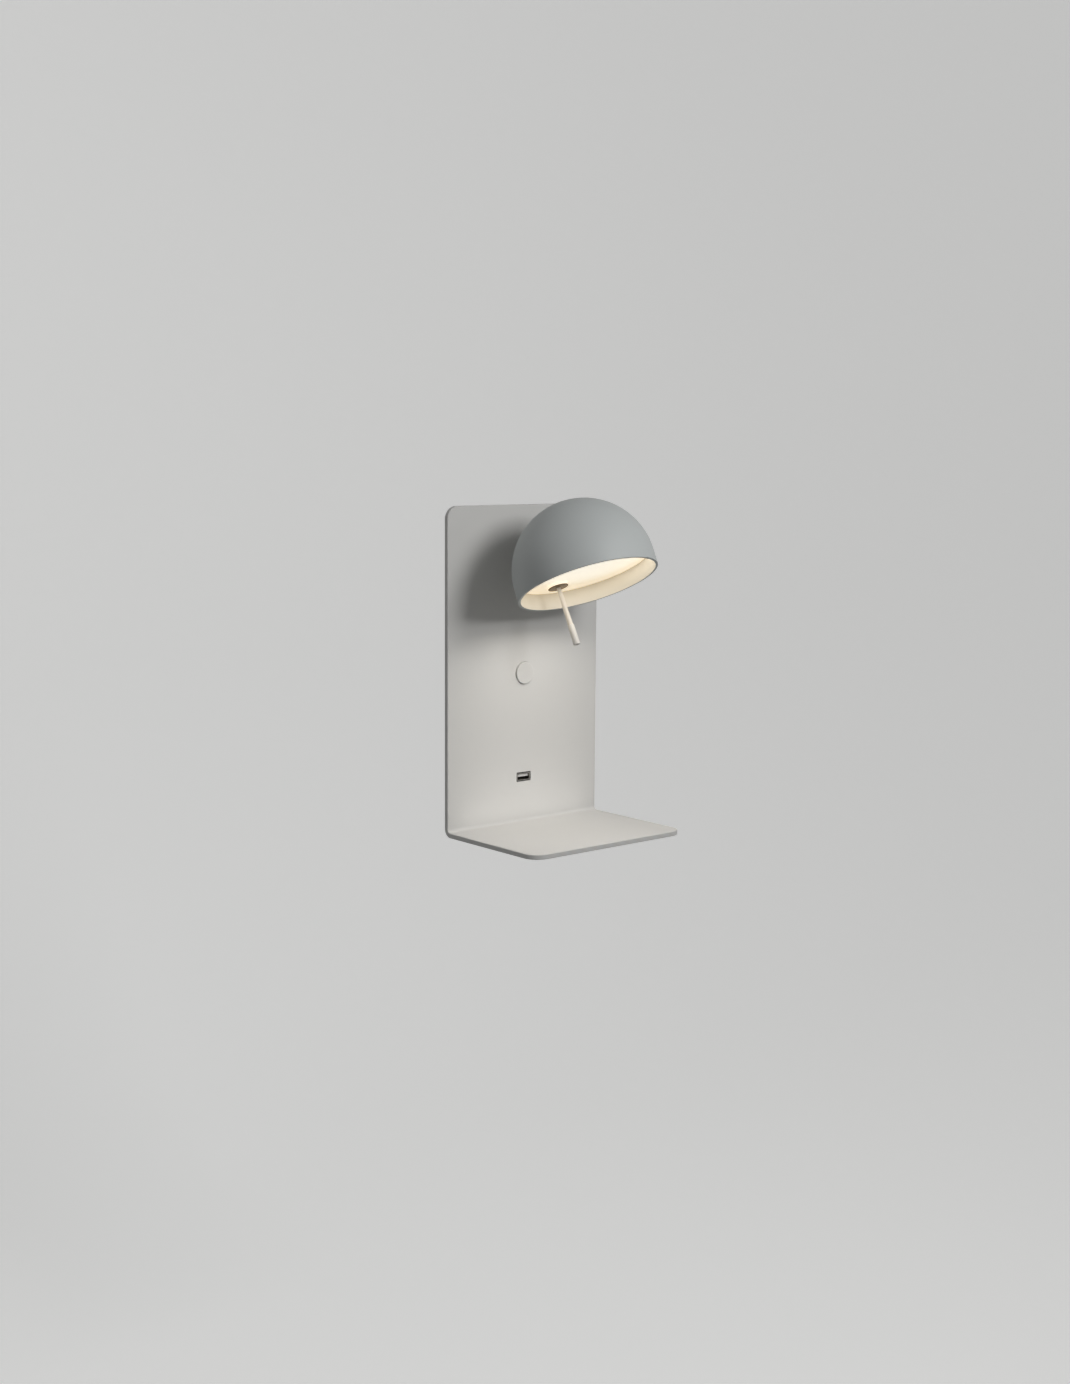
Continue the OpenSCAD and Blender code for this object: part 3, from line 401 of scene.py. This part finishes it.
# The skin of a moulding: spark-eroded grain and a faint unevenness of the colour
moulded, given = skin_group("moulded_skin", Color=(1, 1, 1, 1), Clouds=0.04, Grain=2500, Roughness=0.4)
place = position(moulded)
clouds = noise(moulded, place, 90, 2)
grain = add(moulded, "TexVoronoi", {"Vector": place, "Scale": given["Grain"]}, feature="SMOOTH_F1").outputs[0]
cloudy = varied(moulded, given["Color"], clouds, given["Clouds"])
rough = calc(moulded, "MULTIPLY_ADD", grain, 0.15, given["Roughness"])
put_out(moulded, cloudy, rough, grain)

lead_rubber = finish("lead_rubber", moulded, 0.00003, Color=screen(38, 38, 38), Roughness=0.45)
grommet = softened("cable_grommet_rubber", "cable_grommet", 0.0004)
hand_over(grommet, lead_rubber, "lamp_body", "cable_grommet")


# ---- Terminals and LED driver ------------------------------------------------------------------------------
# White moulded blocks inside the housing: the terminals for the mains, with brass screws, and the LED driver
# under its flat lid, both screwed to the housing.

white_plastic = finish("white_plastic", moulded, 0.00002, Color=screen(226, 225, 221), Roughness=0.4)
brass = finish("brass", plated, 0.00001, metallic=1.0, Color=screen(206, 170, 98), Clouds=0.12, Streaks=800,
               Roughness=0.24)
dress(white_plastic, "terminal_block", "led_driver", "driver_lid")
dress(brass, "terminal_screws")
dress(zinc_steel, "module_screws")


# ---- Push button and its switch ----------------------------------------------------------------------------
# A flat round cap in the panel's own paint stands barely proud of the panel. It is pressed on the white
# plunger of the black switch behind it.

black_plastic = finish("black_plastic", moulded, 0.00002, Color=screen(40, 40, 41), Roughness=0.38)
button_paint = finish("button_paint", powder, 0.00002, Color=screen(213, 212, 209), Clouds=0.03, Peel=1200,
                      Roughness=0.45)
button_r = (button_high.x - button_low.x) / 2
button_edge_r = 0.0005
button_dish = 0.00012
dress(black_plastic, "switch_body")
dress(white_plastic, "switch_plunger")
rod(button_r, button_high.y - button_low.y, (button_low + button_high) / 2, 96, lying=True)
button = start("button_cap_disc")
pick("FACE", lambda f: f.normal.y < -0.9)
for inset in (0.0004, 0.0016, 0.003):
    bpy.ops.mesh.inset(thickness=inset)
move((0, button_dish, 0))
close(button)
round_edges(button, button_edge_r, 4)
smooth(button, 35)
hand_over(button, button_paint, "button", "button_cap")


# ---- USB socket --------------------------------------------------------------------------------------------
# A black moulded surround sits in the panel around the nickel-plated shell, whose white tongue lies in its
# upper half with four brass contacts under it. The supply behind it is a black case screwed to the housing.

nickel = finish("nickel", plated, 0.000005, metallic=1.0, Color=screen(190, 186, 178), Clouds=0.06,
                Streaks=900, Roughness=0.2)
surround = softened("usb_surround_frame", "usb_surround", 0.0002)
hand_over(surround, black_plastic, "lamp_body", "usb_surround")
dress(black_plastic, "usb_case")
dress(nickel, "usb_shell")
dress(white_plastic, "usb_tongue")
dress(brass, "usb_contacts")


# ---- Arm and its swivel in the panel -----------------------------------------------------------------------
# A steel tube, painted like the shade, turns in a white plastic bush in the panel. A ring is fixed on it in
# front and a nut behind, which presses a wave washer and a notched stop washer. Its front end is a flat eye.

arm_paint = finish("arm_paint", powder, 0.00002, Color=screen(196, 197, 197), Clouds=0.04, Peel=1300,
                   Roughness=0.42)
slide_plastic = finish("slide_plastic", moulded, 0.00002, Color=screen(216, 214, 206), Roughness=0.5)
spring_steel = finish("spring_steel", plated, 0.000005, metallic=1.0, Color=screen(128, 130, 134), Clouds=0.1,
                      Streaks=700, Roughness=0.3)


def turned(name, outline, steps=96):
    """A round piece about the Z axis: half its outline, as (radius, height), is drawn and then spun."""
    bpy.ops.mesh.primitive_plane_add(size=0.001)
    piece = start(name)
    bpy.ops.mesh.select_mode(type="VERT")
    bpy.ops.mesh.merge(type="CENTER")
    move((outline[0][0], 0, outline[0][1]))
    for (r0, h0), (r1, h1) in zip(outline, outline[1:]):
        extrude((r1 - r0, 0, h1 - h0))
    bpy.ops.mesh.select_all(action="SELECT")
    bpy.ops.mesh.spin(steps=steps, angle=2 * math.pi, center=(0, 0, 0), axis=(0, 0, 1))
    return close(piece)


def put(piece, place):
    """Bring a piece to its place with a matrix, and keep that place in its mesh."""
    only(piece)
    piece.matrix_world = place
    apply_place()


bush_low, bush_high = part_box("arm_bush")
bush_l = bush_high.y - bush_low.y
arm_r = 0.005
bush_bore_r = arm_r + 0.00005
bush_r = 0.007
bush_flange_r = 0.0095
bush_flange_t = 0.0015
bush_edge_r = 0.0002
arm_ring_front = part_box("arm_collar")[1].y
arm_ring_r = 0.008
arm_ring_t = 0.003
arm_ring_edge_r = 0.0005
towards_room = Matrix.Rotation(quarter_turn, 4, "X")
bush = turned("arm_bush_flange", [(bush_bore_r, 0), (bush_r, 0), (bush_r, bush_l - bush_flange_t),
              (bush_flange_r, bush_l - bush_flange_t), (bush_flange_r, bush_l), (bush_bore_r, bush_l),
              (bush_bore_r, 0)])
put(bush, Matrix.Translation((0, bush_high.y, arm_z)) @ towards_room)
round_edges(bush, bush_edge_r, 2)
smooth(bush)
hand_over(bush, slide_plastic, "lamp_body", "arm_bush")
arm_ring = turned("arm_collar_ring", [(arm_r, 0), (arm_ring_r, 0), (arm_ring_r, arm_ring_t),
                  (arm_r, arm_ring_t), (arm_r, 0)])
put(arm_ring, Matrix.Translation((0, arm_ring_front, arm_z)) @ towards_room)
round_edges(arm_ring, arm_ring_edge_r, 3)
smooth(arm_ring)
hand_over(arm_ring, arm_paint, "arm", "arm_collar")
dress(arm_paint, "arm_tube")
arm_end = softened("arm_end_eye", "arm_end", 0.0003)
hand_over(arm_end, arm_paint, "arm", "arm_end")
dress(slide_plastic, "slide_washer")
dress(spring_steel, "wave_washer")
dress(zinc_steel, "stop_pin", "stop_washer", "arm_nut")


# ---- Leads inside the lamp ---------------------------------------------------------------------------------
# Black insulated leads run from the terminals to the driver and the USB supply, from the switch to the
# driver, and from the driver through the arm to the LEDs.

dress(lead_rubber, "mains_lead", "usb_lead", "switch_lead", "lamp_lead")


# ---- Dome shade --------------------------------------------------------------------------------------------
# A steel dome 115 mm across with a short straight skirt, spun from sheet, coated light grey outside and white
# inside. A slot punched in its back lets it tilt about the arm's end, and three bosses inside hold the tray.

# The shade is made upright, with the hinge at the origin, and then tilted. The joint's lower end is upright.
pivot = Vector(joints["shade_tilt"]["pos_m"])
tilt = math.radians(-joints["shade_tilt"]["range_deg"][0])
in_shade = Matrix.Translation(pivot) @ Matrix.Rotation(-tilt, 4, "X")
shade_r = 0.0575
shade_wall_t = 0.002
shade_inside_r = shade_r - shade_wall_t
shade_edge_r = 0.0005
axis_y = -0.033
rim_z = -0.038
dome_z = -0.026
slot_r = 0.0058
# Seen from the hinge, the slot's middle lies this far above the way to the wall, and its ends this far off it
slot_up = math.radians(32.7)
slot_ends = (0.01097, -0.01018)

bpy.ops.mesh.primitive_uv_sphere_add(segments=128, ring_count=64, radius=shade_r,
                                     location=(0, axis_y, dome_z))
dome = start("dome_shade")
settle()
bpy.ops.mesh.bisect(plane_co=(0, 0, dome_z), plane_no=(0, 0, 1), clear_inner=True)
pick("EDGE", lambda e: near(middle(e).z, dome_z) and len(e.link_faces) == 1)
extrude((0, 0, rim_z - dome_z))
close(dome)
modify(dome, "SOLIDIFY", thickness=shade_wall_t, offset=-1, use_even_offset=True)
rod(slot_r, shade_r, (0, 0, shade_r / 2))
slot_tool = start("slot_tool")
pick("VERT", lambda v: v.co.y > 1e-6)
move((0, slot_ends[0], 0))
pick("VERT", lambda v: v.co.y < 1e-6)
move((0, slot_ends[1], 0))
close(slot_tool)
put(slot_tool, Matrix.Rotation(slot_up - quarter_turn, 4, "X"))
cut(dome, slot_tool)
round_edges(dome, shade_edge_r, 3, 50)
smooth(dome, 35)

boss_r = 0.0035
boss_circle_r = 0.03997
boss_low, boss_high = -0.0085, 0.0145
bosses = []
for angle in map(math.radians, (-90, 25, 155)):
    place = (boss_circle_r * math.cos(angle), axis_y + boss_circle_r * math.sin(angle),
             (boss_low + boss_high) / 2)
    bosses.append(rod(boss_r, boss_high - boss_low, place, 32))
for boss in bosses:
    boss.select_set(True)
bpy.ops.object.join()
boss_set = bpy.context.object
boss_set.name = boss_set.data.name = "shade_bosses"
# The bosses end inside the dome's wall
bpy.ops.mesh.primitive_uv_sphere_add(segments=64, ring_count=32, radius=shade_r - shade_wall_t / 2,
                                     location=(0, axis_y, dome_z))
apply_place()
combine(boss_set, bpy.context.object, "INTERSECT")
smooth(boss_set)

shade_paint = finish("shade_paint", powder, 0.00003, Color=screen(194, 198, 197), Clouds=0.03, Peel=800,
                     Roughness=0.5)
tray_white = finish("tray_white", powder, 0.00002, Color=screen(238, 233, 222), Clouds=0.02, Peel=900,
                    Roughness=0.45)
dome.data.materials.append(shade_paint)
dome.data.materials.append(tray_white)
# The faces that look at the shade's axis from within this reach of it are its white inside
inner_reach = shade_inside_r + 0.0002
for face in dome.data.polygons:
    from_axis = Vector((face.center.x, face.center.y - axis_y, max(face.center.z - dome_z, 0)))
    if from_axis.length < inner_reach and face.normal.dot(from_axis) < 0:
        face.material_index = 1
put(dome, in_shade)
put(boss_set, in_shade)
hand_over(dome, shade_paint, "shade", "shade_shell")
hand_over(boss_set, shade_paint, "shade", "shade_shell")


# ---- Reflector tray with the LEDs --------------------------------------------------------------------------
# A white enamelled tray is screwed to the dome's bosses. It carries a round white board with twelve yellow
# LED chips below, and a ribbed aluminium heat sink on top.

aluminium = finish("aluminium", plated, 0.00001, metallic=1.0, Color=screen(196, 198, 200), Clouds=0.08,
                   Streaks=900, Roughness=0.34)
board = finish("board", moulded, 0.00001, Color=screen(232, 232, 228), Roughness=0.32)
phosphor = finish("phosphor", moulded, 0.00001, Color=screen(240, 206, 96), Roughness=0.25)
dress(tray_white, "reflector_tray")
dress(board, "led_board")
dress(phosphor, "led_chips")
dress(aluminium, "heat_sink")
dress(zinc_steel, "tray_screws", "board_screws")


# ---- Diffuser ----------------------------------------------------------------------------------------------
# A 2 mm opal acrylic disc closes the shade a little way inside its rim, with a low round seat for the stick's
# ring. The LEDs behind it light it warm white in the middle and a little darker and yellower at its edge.

diffuser_z = -0.0245
diffuser_t = 0.002
diffuser_top = diffuser_z + diffuser_t
diffuser_r = 0.05489
diffuser_edge_r = 0.00025
seat_h = 0.002
seat_r = 0.0082
seat_hole_r = 0.00405
stick_back = 0.0017

diffuser = turned("diffuser_disc", [(0, diffuser_z), (0.02, diffuser_z), (0.04, diffuser_z),
                  (diffuser_r, diffuser_z), (diffuser_r, diffuser_top), (0, diffuser_top)], 128)
put(diffuser, Matrix.Translation((0, axis_y, 0)))
seat_middle = (0, stick_back, diffuser_z + diffuser_t / 4 - seat_h / 2)
combine(diffuser, rod(seat_r, seat_h + diffuser_t / 2, seat_middle, 96), "UNION")
cut(diffuser, rod(seat_hole_r, 0.02, (0, stick_back, diffuser_z)))
round_edges(diffuser, diffuser_edge_r, 2)
smooth(diffuser)
put(diffuser, in_shade)

opal = finish("opal", moulded, 0.00001, Color=screen(246, 240, 226), Clouds=0.02, Grain=1800, Roughness=0.35)
tree = opal.node_tree
glow_middle = in_shade @ Vector((0, axis_y - 0.012, diffuser_z))
way_out = add(tree, "VectorMath", {0: position(tree), 1: glow_middle}, operation="DISTANCE").outputs["Value"]
ramp = add(tree, "ValToRGB", {"Fac": calc(tree, "DIVIDE", way_out, diffuser_r)})
ramp.color_ramp.interpolation = "EASE"
ramp.color_ramp.elements[0].color = screen(255, 249, 234)
ramp.color_ramp.elements[1].color = screen(230, 212, 182)
ramp.color_ramp.elements.new(0.66).color = screen(253, 244, 225)
principled = tree.nodes["Principled BSDF"]
tree.links.new(ramp.outputs["Color"], principled.inputs["Emission Color"])
principled.inputs["Emission Strength"].default_value = 0.67
hand_over(diffuser, opal, "shade", "diffuser")


# ---- Tilting hinge -----------------------------------------------------------------------------------------
# A zinc-plated bracket on the tray has two ears around the arm's eye, clamped by a screw, a spring washer and
# a nut. Two plastic washers give the friction that holds the shade where it is aimed.

dress(zinc_steel, "hinge_bracket", "bracket_screws", "hinge_screw", "hinge_nut")
dress(slide_plastic, "hinge_washers")
dress(spring_steel, "hinge_spring_washer")


# ---- Steering stick ----------------------------------------------------------------------------------------
# A thin tapered steel stick comes out of the diffuser through a dark bronze ring and leans a little forward.
# An open sleeve moulded in cream plastic is pushed on its end, by which the hot shade is aimed.

stick_paint = finish("stick_paint", powder, 0.000015, Color=screen(236, 229, 218), Clouds=0.04, Peel=1500,
                     Roughness=0.42)
grip_plastic = finish("grip_plastic", moulded, 0.00001, Color=screen(231, 228, 222), Grain=3000,
                      Roughness=0.36)
collar_metal = finish("collar_metal", powder, 0.00001, metallic=0.6, Color=screen(132, 112, 82), Clouds=0.2,
                      Peel=1600, Roughness=0.3)
run_gap = 0.00005
stick_r = 0.0017
stick_end_r = 0.0022
stick_top = 0.0177
stick_tip = -0.0523
grip_l = 0.017
grip_start = stick_tip + grip_l
grip_r = 0.0027
grip_core_r = 0.0015
grip_bore_r = grip_core_r + run_gap
core_end = stick_tip + 0.0015
collar_r = 0.0085
collar_t = 0.0007
collar_z = -seat_h - collar_t
neck_r = seat_hole_r - run_gap
taper_z = collar_z - 0.0002
lean = math.radians(2.5)
on_diffuser = in_shade @ Matrix.Translation((0, stick_back, diffuser_z))
on_stick = on_diffuser @ Matrix.Rotation(-lean, 4, "X")

# The ring's lower edge is rolled: each point is so far in from its rim and so far up from its face
rolled_edge = [(collar_r - inset, collar_z + rise)
               for inset, rise in ((0.002, 0), (0.0005, 0.00008), (0.0001, 0.00025), (0, 0.0005))]
ring = turned("stick_collar_ring", [(0, collar_z), *rolled_edge, (collar_r, -seat_h), (neck_r, -seat_h),
              (neck_r, diffuser_t), (0, diffuser_t)])
put(ring, on_diffuser)
stick_bore = rod(stick_r + run_gap, 0.02, segments=48)
put(stick_bore, on_stick)
cut(ring, stick_bore)
smooth(ring)
hand_over(ring, collar_metal, "shade", "stick_collar")
stick = turned("stick_rod_tapered", [(0, stick_top), (stick_r, stick_top), (stick_r, taper_z),
               (stick_end_r, grip_start), (grip_core_r, grip_start), (grip_core_r, core_end), (0, core_end)],
               48)
smooth(stick)
put(stick, on_stick)
hand_over(stick, stick_paint, "shade", "stick_rod")
grip = turned("stick_grip_sleeve", [(grip_bore_r, stick_tip), (grip_r - 0.0004, stick_tip),
              (grip_r - 0.0001, stick_tip + 0.0001), (grip_r, stick_tip + 0.0004),
              (grip_r, grip_start - 0.0006), (grip_r - 0.0003, grip_start), (grip_bore_r, grip_start),
              (grip_bore_r, stick_tip)], 48)
smooth(grip)
put(grip, on_stick)
hand_over(grip, grip_plastic, "shade", "stick_grip")


# ---- Studio ------------------------------------------------------------------------------------------------
# The lamp hangs over a plain pale floor that curves up far behind it, in a pale room. A soft light stands in
# front and one behind. Weak lights under the diffuser and on the shelf stand for the lamp's own light.

def seen_straight(tree):
    """1 for what the camera or a shiny surface sees, and 0 for light that falls on the lamp."""
    ray = add(tree, "LightPath").outputs
    return calc(tree, "MAXIMUM", ray["Is Camera Ray"], ray["Is Glossy Ray"])


floor_z = -0.75
floor_w = 12
floor_front = -4.5
back_wall_y = 1.3
back_wall_h = 3
cove_r = 0.6
bpy.ops.mesh.primitive_plane_add(size=1, location=(0, 0, floor_z))
sweep = start("pale_floor")
bpy.ops.transform.resize(value=(floor_w, 1, 1), orient_type="GLOBAL")
settle()
pick("EDGE", lambda e: near(middle(e).y, -0.5))
move((0, floor_front + 0.5, 0))
pick("EDGE", lambda e: near(middle(e).y, 0.5))
move((0, back_wall_y - cove_r - 0.5, 0))
bpy.ops.mesh.spin(steps=24, angle=-quarter_turn, center=(0, back_wall_y - cove_r, floor_z + cove_r),
                  axis=(1, 0, 0))
pick("EDGE", lambda e: near(middle(e).y, back_wall_y))
extrude((0, 0, back_wall_h))
close(sweep)
smooth(sweep)
pale = bpy.data.materials.new("pale_floor")
pale.use_nodes = True
tree = pale.node_tree
principled = tree.nodes["Principled BSDF"]
clouds = noise(tree, position(tree), 2.0, 2)
tree.links.new(varied(tree, (0.7, 0.7, 0.69), clouds, 0.02), principled.inputs["Base Color"])
principled.inputs["Roughness"].default_value = 0.9
haze_strength = calc(tree, "MULTIPLY", seen_straight(tree), 0.42)
haze = add(tree, "Emission", {"Color": (1, 1, 0.99, 1), "Strength": haze_strength})
both = add(tree, "AddShader", {0: principled.outputs[0], 1: haze.outputs[0]})
tree.links.new(both.outputs[0], tree.nodes["Material Output"].inputs["Surface"])
sweep.data.materials.append(pale)

room = bpy.data.worlds.new("pale_room")
room.use_nodes = True
tree = room.node_tree
lit = tree.nodes["Background"]
lit.inputs["Color"].default_value = (0.98, 0.99, 1.0, 1)
lit.inputs["Strength"].default_value = 0.152
backdrop = add(tree, "Background", {"Color": screen(214, 214, 212), "Strength": 1.0})
mixed = add(tree, "MixShader", {0: seen_straight(tree), 1: lit.outputs[0], 2: backdrop.outputs[0]})
tree.links.new(mixed.outputs[0], tree.nodes["World Output"].inputs["Surface"])
bpy.context.scene.world = room


def soft_light(name, place, aim, width, watts, colour=(1, 1, 1)):
    """A soft square light at a place, aimed at a point."""
    bpy.ops.object.light_add(type="AREA", location=place)
    made = bpy.context.object
    made.name = name
    made.rotation_euler = (Vector(aim) - Vector(place)).to_track_quat("-Z", "Y").to_euler()
    made.data.size = width
    made.data.energy = watts
    made.data.color = colour
    made.visible_camera = False
    return made


def light_only(light, *lit_pieces):
    """The light reaches only these pieces."""
    reached = bpy.data.collections.new(light.name + "_on")
    for piece in lit_pieces:
        reached.objects.link(piece)
    light.light_linking.receiver_collection = reached


def diffuser_glow(name, off_axis, width, watts, colour, *lit_pieces):
    """A round light just below the diffuser, which goes with the shade and lights only these pieces."""
    x, y = off_axis
    place, aim = (in_shade @ Vector((x, axis_y + y, diffuser_z - down)) for down in (0.0003, 0.1))
    glow = soft_light(name, place, aim, width, watts, colour)
    glow.data.shape = "DISK"
    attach(glow, "shade")
    light_only(glow, *lit_pieces)


soft_light("room_light", place=(0.1, -0.9, 0.47), aim=(0, 0, 0.03), width=0.3, watts=4.15)
soft_light("back_light", place=(-0.9, 1.0, 0.9), aim=(0, 0, 0), width=0.8, watts=2.4)
usb_parts = [nodes[name] for name in ("usb_shell", "usb_tongue", "usb_contacts")]
diffuser_glow("lamp_glow", (0, 0), 0.096, 0.205, (1.0, 0.955, 0.9), plate, button, surround, *usb_parts)
diffuser_glow("rim_glow", (0.002, -0.003), 0.1, 0.023, (1.0, 0.92, 0.79), dome)
diffuser_glow("stick_glow", (0, 0), 0.096, 0.015, (1.0, 0.93, 0.875), stick, grip, ring)

# The light that the shelf throws back up at the panel
shelf_middle_y = -0.08
bounce = soft_light("shelf_bounce", place=(0, shelf_middle_y, shelf_top + 0.0005), aim=(0, shelf_middle_y, 1),
                    width=0.13, watts=0.0215, colour=(1.0, 0.97, 0.935))
bounce.data.shape = "RECTANGLE"
bounce.data.size_y = 0.09
bounce.visible_glossy = False
light_only(bounce, plate, button)

# The camera stands a little left of the lamp and above its middle
target = Vector((0.01069, -0.027, -0.02146))
distance = 1.5608
azimuth = math.radians(-40.11)
elevation = math.radians(7.749)
roll = math.radians(0.356)
backwards = Vector((math.sin(azimuth) * math.cos(elevation), -math.cos(azimuth) * math.cos(elevation),
                    math.sin(elevation)))
looking = (-backwards).to_track_quat("-Z", "Y") @ Matrix.Rotation(roll, 3, "Z").to_quaternion()
bpy.ops.object.camera_add(location=target + backwards * distance)
camera = bpy.context.object
camera.name = "camera"
camera.rotation_mode = "QUATERNION"
camera.rotation_quaternion = looking
camera.data.sensor_width = 36
camera.data.lens = 48.73
camera.data.shift_x = 0.0007
camera.data.shift_y = -0.0007
camera.data.clip_start = 0.05
bpy.context.scene.camera = camera
bpy.context.scene.view_settings.view_transform = "Standard"
